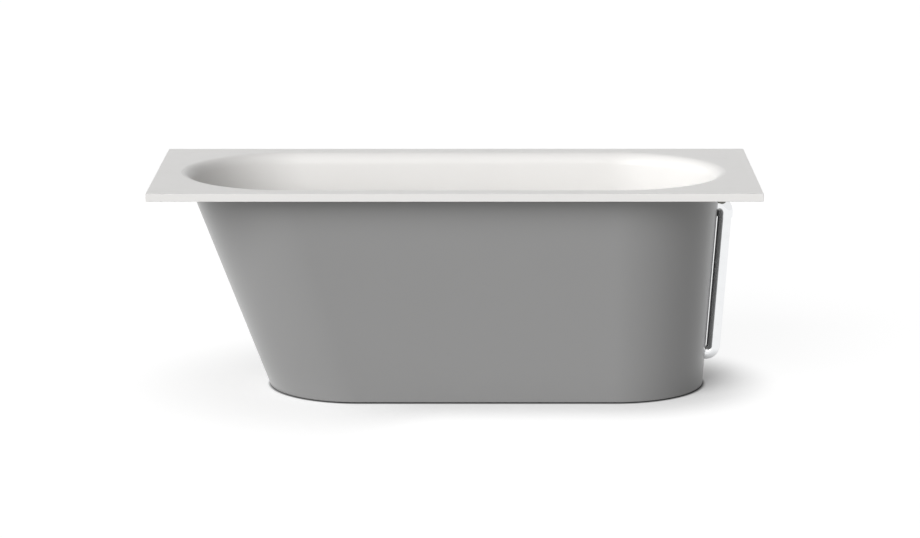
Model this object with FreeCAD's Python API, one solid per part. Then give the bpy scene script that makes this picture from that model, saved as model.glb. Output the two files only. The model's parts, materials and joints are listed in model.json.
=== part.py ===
import FreeCAD, Part
import math
import os

from FreeCAD import Placement, Rotation, Vector

# A built-in bath: a white bowl with a thin rectangular rim, a grey outer shell under the rim,
# adjustable feet on steel rails, a push-button waste with a drum trap, and an overflow whose
# pipe runs down outside the shell at the waste end.
#
# Millimetres. +X runs along the bath to the waste end, -Y is the long front side and +Z is up.
# The origin is on the floor, under the middle of the rim.

# ---- driving dimensions ---------------------------------------------------------------------

RIM_LENGTH = 1700.0
RIM_WIDTH = 750.0
RIM_THICKNESS = 22.0
BATH_HEIGHT = 620.0
RIM_EDGE_RADIUS = 1.0
LIP_RADIUS = 36.0               # rolled edge between the rim and the bowl

# Shell, bowl and cavity are round-ended outlines, each with an end radius, a centre at the
# back rest (left) and a centre at the waste end (right), given at the rim and lower down.
SHELL_RADIUS_AT_RIM = 305.0
SHELL_RADIUS_AT_FLOOR = 262.0
SHELL_LEFT_AT_RIM = -458.0
SHELL_LEFT_AT_FLOOR = -271.0
SHELL_RIGHT = 450.0
SHELL_THICKNESS = 5.0
SHELL_FLOOR_GAP = 3.0

BOWL_BASE_Z = 153.0             # underside of the bowl
BOWL_RADIUS_AT_RIM = 299.0
BOWL_RADIUS_AT_BASE = 255.0
BOWL_LEFT_AT_RIM = -457.0
BOWL_LEFT_AT_BASE = -315.0
BOWL_RIGHT_AT_RIM = 450.0
BOWL_RIGHT_AT_BASE = 462.0
BOWL_CORNER_RADIUS = 97.0

CAVITY_RADIUS_AT_RIM = 287.5
CAVITY_RADIUS_AT_BASE = 248.0
CAVITY_LEFT_AT_RIM = -461.0
CAVITY_LEFT_AT_BASE = -315.0
CAVITY_RIGHT_AT_RIM = 450.0
CAVITY_RIGHT_AT_BASE = 457.5
CAVITY_CORNER_RADIUS = 90.0
FLOOR_Z = 165.0                 # top of the bowl's floor at the waste
FLOOR_FALL = 0.008              # fall of the floor towards the waste, as a slope

WASTE_X = 490.0
WASTE_TAIL_RADIUS = 25.0
WASTE_FLANGE_RADIUS = 35.0
PLUG_TRAVEL = 9.0
STEM_RADIUS = 3.0
RUNNING_FIT = 0.05              # radial clearance of a moving rod in its hole
SLIP_FIT = 0.1                  # radial clearance of a rod that stays in its hole

PIPE_RADIUS = 20.0
PIPE_WALL = 1.5
PIPE_AXIS_OFFSET = 23.2         # from the shell's face to the pipe's axis
PIPE_BEND_RADIUS = 22.5
PIPE_LOW_Z = 89.0               # axis of the pipe's run into the shell
PIPE_INNER_END_X = 526.0
ELBOW_RADIUS = 23.0
ELBOW_BORE_RADIUS = 17.5
ELBOW_BEND_RADIUS = 24.0
ELBOW_Z = 523.0                 # height of the elbow's corner
SOCKET_DEPTH = 12.0

TRAP_X = 472.0
TRAP_RADIUS = 50.0
TRAP_WALL = 3.5
TRAP_TOP_Z = 138.0
TRAP_BOTTOM_Z = 24.0
OUTLET_Z = 82.0
OUTLET_RADIUS = 20.0
OUTLET_BORE_RADIUS = 17.5
OUTLET_BEND_RADIUS = 26.0
OUTLET_BEND_X = 362.0           # axis of the outlet's upright leg
OUTLET_END_Z = 8.0

BOARD_LEFT = -330.0
BOARD_RIGHT = 390.0
BOARD_HALF_WIDTH = 150.0
BOARD_THICKNESS = 16.0

RAIL_X = {"left": -180.0, "right": 280.0}
RAIL_HALF_LENGTH = 245.0
RAIL_WIDTH = 40.0
RAIL_HEIGHT = 22.0
RAIL_GAUGE = 2.5

FOOT_Y = 185.0
STUD_RADIUS = 6.0
STUD_BOTTOM_Z = 5.0
STUD_TOP_Z = 150.0
FOOT_NUT_FLATS = 18.0
FOOT_NUT_HEIGHT = 9.0
PAD_RADIUS = 25.0

# ---- sizes that follow ----------------------------------------------------------------------

RIM_BOTTOM_Z = BATH_HEIGHT - RIM_THICKNESS
BOARD_BOTTOM_Z = BOWL_BASE_Z - BOARD_THICKNESS
RAIL_BOTTOM_Z = BOARD_BOTTOM_Z - RAIL_HEIGHT
WEB_BOTTOM_Z = BOARD_BOTTOM_Z - RAIL_GAUGE
SHELL_DRAFT = (SHELL_RADIUS_AT_RIM - SHELL_RADIUS_AT_FLOOR) / RIM_BOTTOM_Z
LEAN = math.atan(SHELL_DRAFT)

UP = Vector(0, 0, 1)
ALONG = Vector(1, 0, 0)
ACROSS = Vector(0, 1, 0)


def between(z, low_z, low, high_z, high):
    """Value at height z on the straight line through two heights."""
    return low + (high - low) * (z - low_z) / (high_z - low_z)


def shell_outline(z):
    """End radius, left centre and right centre of the shell's outside at height z."""
    radius = between(z, 0, SHELL_RADIUS_AT_FLOOR, RIM_BOTTOM_Z, SHELL_RADIUS_AT_RIM)
    left = between(z, 0, SHELL_LEFT_AT_FLOOR, RIM_BOTTOM_Z, SHELL_LEFT_AT_RIM)
    return radius, left, SHELL_RIGHT


def shell_inner_outline(z):
    radius, left, right = shell_outline(z)
    return radius - SHELL_THICKNESS, left, right


def bowl_outline(z):
    radius = between(z, BOWL_BASE_Z, BOWL_RADIUS_AT_BASE, RIM_BOTTOM_Z, BOWL_RADIUS_AT_RIM)
    left = between(z, BOWL_BASE_Z, BOWL_LEFT_AT_BASE, RIM_BOTTOM_Z, BOWL_LEFT_AT_RIM)
    right = between(z, BOWL_BASE_Z, BOWL_RIGHT_AT_BASE, RIM_BOTTOM_Z, BOWL_RIGHT_AT_RIM)
    return radius, left, right


def cavity_outline(z):
    radius = between(z, BOWL_BASE_Z, CAVITY_RADIUS_AT_BASE, RIM_BOTTOM_Z, CAVITY_RADIUS_AT_RIM)
    left = between(z, BOWL_BASE_Z, CAVITY_LEFT_AT_BASE, RIM_BOTTOM_Z, CAVITY_LEFT_AT_RIM)
    right = between(z, BOWL_BASE_Z, CAVITY_RIGHT_AT_BASE, RIM_BOTTOM_Z, CAVITY_RIGHT_AT_RIM)
    return radius, left, right


def end_x(outline, z):
    """Where an outline's waste end crosses the middle plane at height z."""
    radius, _, right = outline(z)
    return right + radius


# The overflow's fittings stand square to the leaning end wall. In their own frame Z points
# out of the bath, X points down the pipe, and the shell's outer face is at zero.
OUTWARD = Vector(math.cos(LEAN), 0, -math.sin(LEAN))
OVERFLOW_WALL_Z = ELBOW_Z + PIPE_AXIS_OFFSET * math.sin(LEAN)
OVERFLOW_POINT = Vector(end_x(shell_outline, OVERFLOW_WALL_Z), 0, OVERFLOW_WALL_Z)
OVERFLOW_PLACE = Placement(OVERFLOW_POINT, Rotation(UP, OUTWARD))
SEAL_THICKNESS = 3.0
SEAL_FACE = -math.cos(LEAN) * (
    end_x(shell_outline, OVERFLOW_WALL_Z) - end_x(bowl_outline, OVERFLOW_WALL_Z)) - 1.2
ELBOW_FACE = SEAL_FACE + SEAL_THICKNESS
PLATE_FACE = -math.cos(LEAN) * (
    end_x(shell_outline, OVERFLOW_WALL_Z) - end_x(cavity_outline, OVERFLOW_WALL_Z))
PLATE_RADIUS = 33.0
PLATE_DEPTH = 9.0
OVERFLOW_BOSS_NEAR = 3.0        # screw boss inside the elbow's mouth, from its end face
OVERFLOW_BOSS_DEPTH = 9.0
OVERFLOW_SCREW_RADIUS = 3.0


# ---- plain shapes ---------------------------------------------------------------------------

def rod(radius, start, length, direction=UP):
    return Part.makeCylinder(radius, length, start, direction)


def ring(outer, inner, start, length, direction=UP):
    return rod(outer, start, length, direction).cut(rod(inner, start, length, direction))


def block(low, high):
    size = high.sub(low)
    return Part.makeBox(size.x, size.y, size.z, low)


def prism(flats, start, length, direction=UP, sides=6):
    """Regular prism, such as a nut, measured across its flats."""
    corner = flats / 2 / math.cos(math.pi / sides)
    points = []
    for side in range(sides + 1):
        turn = 2 * math.pi * (side + 0.5) / sides
        points.append(Vector(corner * math.cos(turn), corner * math.sin(turn), 0))
    solid = Part.Face(Part.makePolygon(points)).extrude(Vector(0, 0, length))
    solid.Placement = Placement(start, Rotation(UP, direction))
    return solid


def turned(profile):
    """Solid of revolution about Z from (radius, height) pairs."""
    points = [Vector(radius, 0, height) for radius, height in profile]
    return Part.Face(Part.makePolygon(points + points[:1])).revolve(Vector(), UP, 360)


def round_ended(outline, z):
    radius, left, right = outline(z)
    front = Part.LineSegment(Vector(left, -radius, z), Vector(right, -radius, z))
    waste_end = Part.Arc(front.EndPoint, Vector(right + radius, 0, z), Vector(right, radius, z))
    back = Part.LineSegment(waste_end.EndPoint, Vector(left, radius, z))
    head_end = Part.Arc(back.EndPoint, Vector(left - radius, 0, z), front.StartPoint)
    return Part.Wire([edge.toShape() for edge in (front, waste_end, back, head_end)])


def round_ended_block(outline, low_z, high_z):
    """Solid with straight, leaning walls between two heights of an outline."""
    return Part.makeLoft([round_ended(outline, low_z), round_ended(outline, high_z)], True, True)


def bent_rod(radius, start, corner, end, bend_radius):
    """Round rod along two straight runs joined by a tangent arc."""
    into = corner.sub(start).normalize()
    onward = end.sub(corner).normalize()
    turn = into.getAngle(onward)
    setback = bend_radius * math.tan(turn / 2)
    bend_start = corner - into * setback
    bend_end = corner + onward * setback
    inward = (onward - into).normalize()
    bend_centre = corner + inward * (bend_radius / math.cos(turn / 2))
    bend_middle = bend_centre - inward * bend_radius
    path = Part.Wire([
        Part.LineSegment(start, bend_start).toShape(),
        Part.Arc(bend_start, bend_middle, bend_end).toShape(),
        Part.LineSegment(bend_end, end).toShape(),
    ])
    profile = Part.Wire(Part.makeCircle(radius, start, into))
    return path.makePipeShell([profile], True, False)


def placed(solid, placement):
    solid.Placement = placement.multiply(solid.Placement)
    return solid


def union(solids):
    whole = solids[0]
    for solid in solids[1:]:
        whole = whole.fuse(solid)
    return whole.removeSplitter()


# ---- bath body ------------------------------------------------------------------------------

def level_edges(solid, z, reach_x, reach_y):
    """Edges that lie at height z, within the given reach of the middle."""
    found = []
    for edge in solid.Edges:
        box = edge.BoundBox
        level = abs(box.ZMin - z) < 0.01 and abs(box.ZMax - z) < 0.01
        inside = max(-box.XMin, box.XMax) < reach_x and max(-box.YMin, box.YMax) < reach_y
        if level and inside:
            found.append(edge)
    return found


def cavity():
    """The space inside the bowl, over a floor that falls to the waste."""
    space = round_ended_block(cavity_outline, BOWL_BASE_Z - 40, BATH_HEIGHT + 40)
    below = Part.makeBox(3000, 1200, 400, Vector(-2000, -600, -400))
    below.rotate(Vector(), ACROSS, math.degrees(math.atan(FLOOR_FALL)))
    below.translate(Vector(WASTE_X, 0, FLOOR_Z))
    space = space.cut(below)
    floor = min(space.Faces, key=lambda face: face.CenterOfMass.z)
    return space.makeFillet(CAVITY_CORNER_RADIUS, floor.Edges)


def basin():
    rim = block(Vector(-RIM_LENGTH / 2, -RIM_WIDTH / 2, RIM_BOTTOM_Z),
                Vector(RIM_LENGTH / 2, RIM_WIDTH / 2, BATH_HEIGHT))
    rim = rim.makeFillet(RIM_EDGE_RADIUS, rim.Edges)
    bowl = round_ended_block(bowl_outline, BOWL_BASE_Z, RIM_BOTTOM_Z + RIM_THICKNESS / 2)
    bowl_bottom = level_edges(bowl, BOWL_BASE_Z, RIM_LENGTH, RIM_WIDTH)
    bowl = bowl.makeFillet(BOWL_CORNER_RADIUS, bowl_bottom)
    body = rim.fuse(bowl).cut(cavity())
    lip_reach_x = RIM_LENGTH / 2 - 10
    lip_reach_y = RIM_WIDTH / 2 - 10
    body = body.makeFillet(LIP_RADIUS, level_edges(body, BATH_HEIGHT, lip_reach_x, lip_reach_y))

    waste_recess = rod(WASTE_FLANGE_RADIUS + 1, Vector(WASTE_X, 0, FLOOR_Z - 4.5), 20)
    waste_hole = rod(WASTE_TAIL_RADIUS + 1.5, Vector(WASTE_X, 0, BOWL_BASE_Z - 5), 30)
    overflow_hole = rod(ELBOW_BORE_RADIUS, Vector(0, 0, -60), 80)
    outer_flat = rod(ELBOW_RADIUS + 2, Vector(0, 0, SEAL_FACE), 20)
    inner_flat = rod(PLATE_RADIUS + 1, Vector(0, 0, PLATE_FACE - 40), 40)
    for cutter in (overflow_hole, outer_flat, inner_flat):
        body = body.cut(placed(cutter, OVERFLOW_PLACE))
    return body.cut(waste_recess).cut(waste_hole)


def elbow_slot():
    """Slot, open at the top, that lets the shell slide up round the overflow elbow."""
    half_width = ELBOW_RADIUS + 1
    round_end = rod(half_width, Vector(0, 0, -30), 60)
    way_up = block(Vector(-100, -half_width, -30), Vector(0, half_width, 30))
    return placed(round_end.fuse(way_up), OVERFLOW_PLACE)


def outer_shell():
    outside = round_ended_block(shell_outline, SHELL_FLOOR_GAP, RIM_BOTTOM_Z)
    inside = round_ended_block(shell_inner_outline, 0, RIM_BOTTOM_Z + 10)
    pipe_hole = rod(PIPE_RADIUS + 2, Vector(SHELL_RIGHT + 200, 0, PIPE_LOW_Z), 120, ALONG)
    return outside.cut(inside).cut(elbow_slot()).cut(pipe_hole)


# ---- base -----------------------------------------------------------------------------------

SCREW_RADIUS = 2.0
SCREW_HEAD_RADIUS = 4.5
SCREW_LENGTH = 14.0
SCREW_Y = (-120.0, -45.0, 45.0, 120.0)
BRACKET_BOLT_Y = 222.0
BRACKET_BOLT_RADIUS = 3.0
BRACKET_HALF_WIDTH = 15.0


def rail_points(spots):
    """Points on the underside of both rails' webs, at the given places across the bath."""
    return [Vector(x, y, WEB_BOTTOM_Z) for x in RAIL_X.values() for y in spots]


def base_board():
    board = block(Vector(BOARD_LEFT, -BOARD_HALF_WIDTH, BOARD_BOTTOM_Z),
                  Vector(BOARD_RIGHT, BOARD_HALF_WIDTH, BOWL_BASE_Z))
    uprights = [edge for edge in board.Edges if edge.BoundBox.ZLength > BOARD_THICKNESS / 2]
    board = board.makeFillet(20, uprights)
    for point in rail_points(SCREW_Y):
        board = board.cut(rod(SCREW_RADIUS + SLIP_FIT, point, SCREW_LENGTH + 1))
    return board


def cross_rail(x):
    """Channel that opens downwards, with a hole for each foot, screw and bracket bolt."""
    half = RAIL_WIDTH / 2
    rail = block(Vector(x - half, -RAIL_HALF_LENGTH, RAIL_BOTTOM_Z),
                 Vector(x + half, RAIL_HALF_LENGTH, BOARD_BOTTOM_Z))
    channel = block(Vector(x - half + RAIL_GAUGE, -RAIL_HALF_LENGTH, RAIL_BOTTOM_Z),
                    Vector(x + half - RAIL_GAUGE, RAIL_HALF_LENGTH, WEB_BOTTOM_Z))
    rail = rail.cut(channel)
    holes = [(y, SCREW_RADIUS + 0.4) for y in SCREW_Y]
    holes += [(side * FOOT_Y, STUD_RADIUS + 0.5) for side in (-1, 1)]
    holes += [(side * BRACKET_BOLT_Y, BRACKET_BOLT_RADIUS + 0.4) for side in (-1, 1)]
    for y, radius in holes:
        rail = rail.cut(rod(radius, Vector(x, y, WEB_BOTTOM_Z - 1), RAIL_GAUGE + 2))
    return rail


def rail_screws():
    screws = []
    for point in rail_points(SCREW_Y):
        head = Part.makeCone(3.0, SCREW_HEAD_RADIUS, 2.5, point - UP * 2.5)
        slot = block(point + Vector(-5, -0.6, -2.5), point + Vector(5, 0.6, -1.5))
        screws.append(head.cut(slot).fuse(rod(SCREW_RADIUS, point, SCREW_LENGTH)))
    return Part.makeCompound(screws)


def foot_nuts(bottom_z):
    nuts = []
    for x in RAIL_X.values():
        for side in (-1, 1):
            seat = Vector(x, side * FOOT_Y, bottom_z)
            nut = prism(FOOT_NUT_FLATS, seat, FOOT_NUT_HEIGHT)
            nut = nut.common(rod(FOOT_NUT_FLATS * 0.56, seat, FOOT_NUT_HEIGHT))
            nuts.append(nut.cut(rod(STUD_RADIUS + RUNNING_FIT, seat, FOOT_NUT_HEIGHT)))
    return Part.makeCompound(nuts)


def shell_brackets():
    """Angles that tie the rails' ends to the leaning sides of the shell."""
    gauge = RAIL_GAUGE
    height = 34.0
    glue_gap = 0.5
    wall_y = shell_inner_outline(BOARD_BOTTOM_Z)[0] - glue_gap
    brackets = []
    for x in RAIL_X.values():
        for side in (-1, 1):
            foot = block(Vector(-BRACKET_HALF_WIDTH, BRACKET_BOLT_Y - 12, 0),
                         Vector(BRACKET_HALF_WIDTH, wall_y, gauge))
            foot = foot.cut(rod(BRACKET_BOLT_RADIUS + 0.4, Vector(0, BRACKET_BOLT_Y, 0), gauge))
            leg = block(Vector(-BRACKET_HALF_WIDTH, -gauge, 0),
                        Vector(BRACKET_HALF_WIDTH, 0, height))
            leg.rotate(Vector(), ALONG, -math.degrees(LEAN))
            leg.translate(Vector(0, wall_y, 0))
            trim = block(Vector(-50, wall_y - 20, -20), Vector(50, wall_y + 20, 0))
            bracket = foot.fuse(leg.cut(trim)).removeSplitter()
            if side < 0:
                bracket.rotate(Vector(), UP, 180)
            bracket.translate(Vector(x, 0, BOARD_BOTTOM_Z))
            brackets.append(bracket)
    return Part.makeCompound(brackets)


def bracket_bolts():
    bolts = []
    for point in rail_points((-BRACKET_BOLT_Y, BRACKET_BOLT_Y)):
        top = point + UP * 2 * RAIL_GAUGE
        shank = rod(BRACKET_BOLT_RADIUS, top - UP * 16, 16)
        bolts.append(shank.fuse(prism(10, top, 4)))
    return Part.makeCompound(bolts)


def bracket_nuts():
    nuts = []
    for point in rail_points((-BRACKET_BOLT_Y, BRACKET_BOLT_Y)):
        seat = point - UP * 5
        nuts.append(prism(10, seat, 5).cut(rod(BRACKET_BOLT_RADIUS + SLIP_FIT, seat, 5)))
    return Part.makeCompound(nuts)


def foot_stud(x, y):
    """Threaded rod of a foot, with a hexagon for the spanner just above the pad."""
    stud = rod(STUD_RADIUS, Vector(x, y, STUD_BOTTOM_Z), STUD_TOP_Z - STUD_BOTTOM_Z)
    top_edge = [edge for edge in stud.Edges if abs(edge.CenterOfMass.z - STUD_TOP_Z) < 0.01]
    stud = stud.makeChamfer(1.0, top_edge)
    return stud.fuse(prism(17, Vector(x, y, 15), 8))


def foot_pad(x, y):
    """Round shoe with a ribbed hub, open at the top for the stud."""
    bore = STUD_RADIUS + SLIP_FIT
    pad = turned([(0, 0), (PAD_RADIUS - 1, 0), (PAD_RADIUS, 1), (PAD_RADIUS, 4.5),
                  (PAD_RADIUS - 3, 7), (13, 8), (11.5, 14.5), (bore, 14.5),
                  (bore, STUD_BOTTOM_Z), (0, STUD_BOTTOM_Z)])
    pad.translate(Vector(x, y, 0))
    return pad


# ---- waste and plug -------------------------------------------------------------------------

FLANGE_TOP_Z = FLOOR_Z + 0.2
FLANGE_UNDER_Z = FLANGE_TOP_Z - 2.7
TAIL_BOTTOM_Z = 128.0
TAIL_BORE_RADIUS = 22.0
SEAT_RADIUS = 26.0              # mouth of the tapered seat that the plug's ring closes
SEAT_LOW_Z = 160.0
CARTRIDGE_RADIUS = 7.5
CHAMBER_RADIUS = 6.3
CHAMBER_LOW_Z = 134.0
CHAMBER_HIGH_Z = 152.0
CARTRIDGE_LOW_Z = 132.0
CARTRIDGE_HIGH_Z = 156.5
STEM_COLLAR_Z = 149.5           # underside of the stem's collar, on which the spring pushes
SPRING_WIRE_RADIUS = 0.45
SPRING_RADIUS = 4.7
SPRING_TURNS = 6
CAP_UNDER_Z = FLANGE_TOP_Z + 0.2 + PLUG_TRAVEL
RING_SEAT_RADIUS = 20.0
WASTE_AXIS = Vector(WASTE_X, 0, 0)


def waste_flange():
    """Flange with a tapered seat, a threaded tail, and a spider for the plug's cartridge."""
    flange = turned([
        (SEAT_RADIUS, FLANGE_TOP_Z), (WASTE_FLANGE_RADIUS - 1.2, FLANGE_TOP_Z),
        (WASTE_FLANGE_RADIUS, FLANGE_TOP_Z - 1.2), (WASTE_FLANGE_RADIUS, FLANGE_UNDER_Z),
        (WASTE_TAIL_RADIUS, FLANGE_UNDER_Z), (WASTE_TAIL_RADIUS, TAIL_BOTTOM_Z),
        (TAIL_BORE_RADIUS, TAIL_BOTTOM_Z), (TAIL_BORE_RADIUS, SEAT_LOW_Z)])
    boss = rod(CARTRIDGE_RADIUS + 2.5, Vector(0, 0, 143), 11)
    arms = [flange, boss]
    for arm in range(3):
        bar = block(Vector(0, -2, 144), Vector(TAIL_BORE_RADIUS + 1.5, 2, 151))
        bar.rotate(Vector(), UP, 120 * arm)
        arms.append(bar)
    whole = union(arms).cut(rod(CARTRIDGE_RADIUS + SLIP_FIT, Vector(0, 0, 140), 20))
    whole.translate(WASTE_AXIS)
    return whole


def plug_cartridge():
    """Sleeve that guides the plug's stem and holds its spring."""
    hole = STEM_RADIUS + RUNNING_FIT
    sleeve = turned([
        (hole, CARTRIDGE_LOW_Z), (CARTRIDGE_RADIUS, CARTRIDGE_LOW_Z), (CARTRIDGE_RADIUS, 154),
        (CARTRIDGE_RADIUS + 2.3, 154), (CARTRIDGE_RADIUS + 2.3, CARTRIDGE_HIGH_Z),
        (hole, CARTRIDGE_HIGH_Z), (hole, CHAMBER_HIGH_Z), (CHAMBER_RADIUS, CHAMBER_HIGH_Z),
        (CHAMBER_RADIUS, CHAMBER_LOW_Z), (hole, CHAMBER_LOW_Z)])
    sleeve.translate(WASTE_AXIS)
    return sleeve


def plug_stem():
    stem = union([
        rod(STEM_RADIUS, Vector(0, 0, 127), CAP_UNDER_Z - 1 - 127),
        rod(CHAMBER_RADIUS - 0.5, Vector(0, 0, STEM_COLLAR_Z), 2.2),
        rod(STEM_RADIUS - 0.9, Vector(0, 0, 125), 3)])
    stem.translate(WASTE_AXIS)
    return stem


def helix_point(turn, pitch, base_z):
    angle = 2 * math.pi * turn
    point = Vector(SPRING_RADIUS * math.cos(angle), SPRING_RADIUS * math.sin(angle), 0)
    point.z = base_z + pitch * turn
    return point


def helix_direction(turn, pitch):
    angle = 2 * math.pi * turn
    rise = pitch / (2 * math.pi * SPRING_RADIUS)
    return Vector(-math.sin(angle), math.cos(angle), rise).normalize()


def corner_arc(start, corner, end):
    """Arc that touches two equal legs at their ends."""
    middle = (start + end) * 0.5
    half_turn = math.asin(corner.distanceToPoint(middle) / corner.distanceToPoint(start))
    radius = corner.distanceToPoint(start) / math.tan(half_turn)
    rise = radius * (1 - math.cos(half_turn))
    return Part.Arc(start, middle + (corner - middle).normalize() * rise, end).toShape()


def double_arc(start, start_way, end, end_way):
    """Two tangent arcs that leave and arrive in the given directions."""
    span = end - start
    ways = start_way + end_way
    spread = 2 * (1 - start_way.dot(end_way))
    along = span.dot(ways)
    leg = (math.sqrt(along * along + spread * span.dot(span)) - along) / spread
    corner = start + start_way * leg
    far_corner = end - end_way * leg
    joint = (corner + far_corner) * 0.5
    return [corner_arc(start, corner, joint), corner_arc(joint, far_corner, end)]


def plug_spring():
    """Compression spring between the chamber's floor and the stem's collar."""
    base_z = CHAMBER_LOW_Z + SPRING_WIRE_RADIUS + 0.1
    height = STEM_COLLAR_Z - SPRING_WIRE_RADIUS - 0.1 - base_z
    pitch = height / SPRING_TURNS
    print(f"plug spring: gap between turns {pitch - 2 * SPRING_WIRE_RADIUS:.2f} mm")
    edges = []
    for quarter in range(4 * SPRING_TURNS):
        start = quarter / 4
        end = (quarter + 1) / 4
        edges += double_arc(helix_point(start, pitch, base_z), helix_direction(start, pitch),
                            helix_point(end, pitch, base_z), helix_direction(end, pitch))
    first = helix_point(0, pitch, base_z)
    profile = Part.Wire(Part.makeCircle(SPRING_WIRE_RADIUS, first, helix_direction(0, pitch)))
    spring = Part.Wire(edges).makePipeShell([profile], True, False)
    spring.translate(WASTE_AXIS)
    return spring


def plug_cap():
    """Domed button, with a hub under it for the stem and a groove for the rubber ring."""
    hub_low = CAP_UNDER_Z - 8
    dome_rise = 3.5
    cap_radius = 31.5
    sphere_radius = (cap_radius ** 2 + dome_rise ** 2) / (2 * dome_rise)
    body = rod(cap_radius, Vector(0, 0, CAP_UNDER_Z), 2.5 + dome_rise)
    dome_centre = Vector(0, 0, CAP_UNDER_Z + 2.5 + dome_rise - sphere_radius)
    body = body.common(Part.makeSphere(sphere_radius, dome_centre))
    hub = rod(6, Vector(0, 0, hub_low), 9)
    ring_seat = rod(RING_SEAT_RADIUS, Vector(0, 0, CAP_UNDER_Z - 3), 3.5)
    cap = union([body, hub, ring_seat]).cut(
        rod(STEM_RADIUS + SLIP_FIT, Vector(0, 0, hub_low), CAP_UNDER_Z - 0.9 - hub_low))
    cap.translate(WASTE_AXIS)
    return cap


def plug_seal():
    """Tapered rubber ring round the cap's seat, with a lip that holds it on from below."""
    inner = RING_SEAT_RADIUS + SLIP_FIT
    lip = RING_SEAT_RADIUS - 3
    low_z = CAP_UNDER_Z - 4.5
    seal = turned([(inner, CAP_UNDER_Z), (SEAT_RADIUS - 0.7, CAP_UNDER_Z), (22.2, low_z),
                   (lip, low_z), (lip, low_z + 1.4), (inner, low_z + 1.4)])
    seal.translate(WASTE_AXIS)
    return seal


def waste_seal_top():
    low_z = FLOOR_Z - 4.5
    return ring(WASTE_FLANGE_RADIUS - 1, WASTE_TAIL_RADIUS + 0.3,
                Vector(WASTE_X, 0, low_z), FLANGE_UNDER_Z - low_z)


def waste_seal_bottom():
    return ring(37, WASTE_TAIL_RADIUS + 0.3, Vector(WASTE_X, 0, BOWL_BASE_Z - 4), 4)


# ---- trap -----------------------------------------------------------------------------------

PORT_RADIUS = 25.0
PORT_END_X = 552.0
SPIGOT_RADIUS = 22.0
SPIGOT_END_X = 404.0
BAFFLE_X = 462.0
CAP_SEAL_THICKNESS = 2.0


def trap_body():
    """Drum under the waste, with a port for the overflow pipe and a spigot for the outlet."""
    inner = TRAP_RADIUS - TRAP_WALL
    drum_axis = Vector(TRAP_X, 0, 0)
    height = TRAP_TOP_Z - TRAP_BOTTOM_Z
    drum = rod(TRAP_RADIUS, drum_axis + UP * TRAP_BOTTOM_Z, height)
    neck = rod(29, Vector(WASTE_X, 0, TRAP_TOP_Z - 3), BOWL_BASE_Z - 4 - TRAP_TOP_Z + 3)
    collar = rod(38, Vector(WASTE_X, 0, BOWL_BASE_Z - 8), 4)
    port = rod(PORT_RADIUS, Vector(TRAP_X + 30, 0, PIPE_LOW_Z), PORT_END_X - TRAP_X - 30, ALONG)
    spigot = rod(SPIGOT_RADIUS, Vector(SPIGOT_END_X, 0, OUTLET_Z),
                 TRAP_X - 30 - SPIGOT_END_X, ALONG)
    body = union([drum, neck, collar, port, spigot])

    chamber = rod(inner, drum_axis + UP * TRAP_BOTTOM_Z, height - TRAP_WALL)
    throat = rod(WASTE_TAIL_RADIUS + SLIP_FIT, Vector(WASTE_X, 0, TAIL_BOTTOM_Z), 40)
    port_bore = rod(PIPE_RADIUS - PIPE_WALL, Vector(TRAP_X, 0, PIPE_LOW_Z), 100, ALONG)
    pipe_socket = rod(PIPE_RADIUS + SLIP_FIT, Vector(PIPE_INNER_END_X - 0.5, 0, PIPE_LOW_Z),
                      60, ALONG)
    spigot_bore = rod(OUTLET_BORE_RADIUS, Vector(SPIGOT_END_X - 1, 0, OUTLET_Z), 50, ALONG)
    for space in (chamber, throat, port_bore, pipe_socket, spigot_bore):
        body = body.cut(space)

    groove_half = 1.9
    grooves = []
    for side in (-1, 1):
        reach = math.sqrt(inner ** 2 - (BAFFLE_X - TRAP_X) ** 2)
        low = Vector(BAFFLE_X - groove_half - 2.5, side * reach - 5, TRAP_BOTTOM_Z + 12)
        high = Vector(BAFFLE_X + groove_half + 2.5, side * reach + 5, TRAP_TOP_Z - TRAP_WALL)
        post = block(low, high)
        slot = block(Vector(BAFFLE_X - groove_half, -inner, low.z),
                     Vector(BAFFLE_X + groove_half, inner, high.z))
        grooves.append(post.cut(slot).common(rod(inner + 1, drum_axis, TRAP_TOP_Z)))
    body = union([body] + grooves)

    foot_ring = ring(TRAP_RADIUS + 3, TRAP_RADIUS - 0.5, drum_axis + UP * TRAP_BOTTOM_Z, 12)
    return union([body, foot_ring])


def trap_baffle():
    """Plate that the water passes under, so that the trap holds its seal."""
    inner = TRAP_RADIUS - TRAP_WALL
    reach = math.sqrt(inner ** 2 - (BAFFLE_X - TRAP_X) ** 2) - 0.8
    plate = block(Vector(BAFFLE_X - 1.5, -reach, TRAP_BOTTOM_Z + 12),
                  Vector(BAFFLE_X + 1.5, reach, TRAP_TOP_Z - TRAP_WALL - 0.5))
    tab = block(Vector(BAFFLE_X - 9, -8, TRAP_BOTTOM_Z + 12),
                Vector(BAFFLE_X - 1.5, 8, TRAP_BOTTOM_Z + 14.5))
    return plate.fuse(tab).removeSplitter()


def trap_cap():
    """Screw cap that closes the drum from below for cleaning, with a grip bar."""
    inner = TRAP_RADIUS + 3 + SLIP_FIT
    outer = inner + 3
    floor_z = TRAP_BOTTOM_Z - CAP_SEAL_THICKNESS
    low_z = floor_z - 3.5
    cap = turned([(0, low_z), (outer - 1.5, low_z), (outer, low_z + 1.5),
                  (outer, floor_z + 12), (inner, floor_z + 12), (inner, floor_z), (0, floor_z)])
    cap = cap.fuse(block(Vector(-34, -4, low_z - 7), Vector(34, 4, low_z + 1)))
    for rib in range(24):
        notch = rod(1.2, Vector(outer + 0.4, 0, low_z + 3), 20)
        notch.rotate(Vector(), UP, 15 * rib)
        cap = cap.cut(notch)
    cap.translate(Vector(TRAP_X, 0, 0))
    return cap


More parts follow.
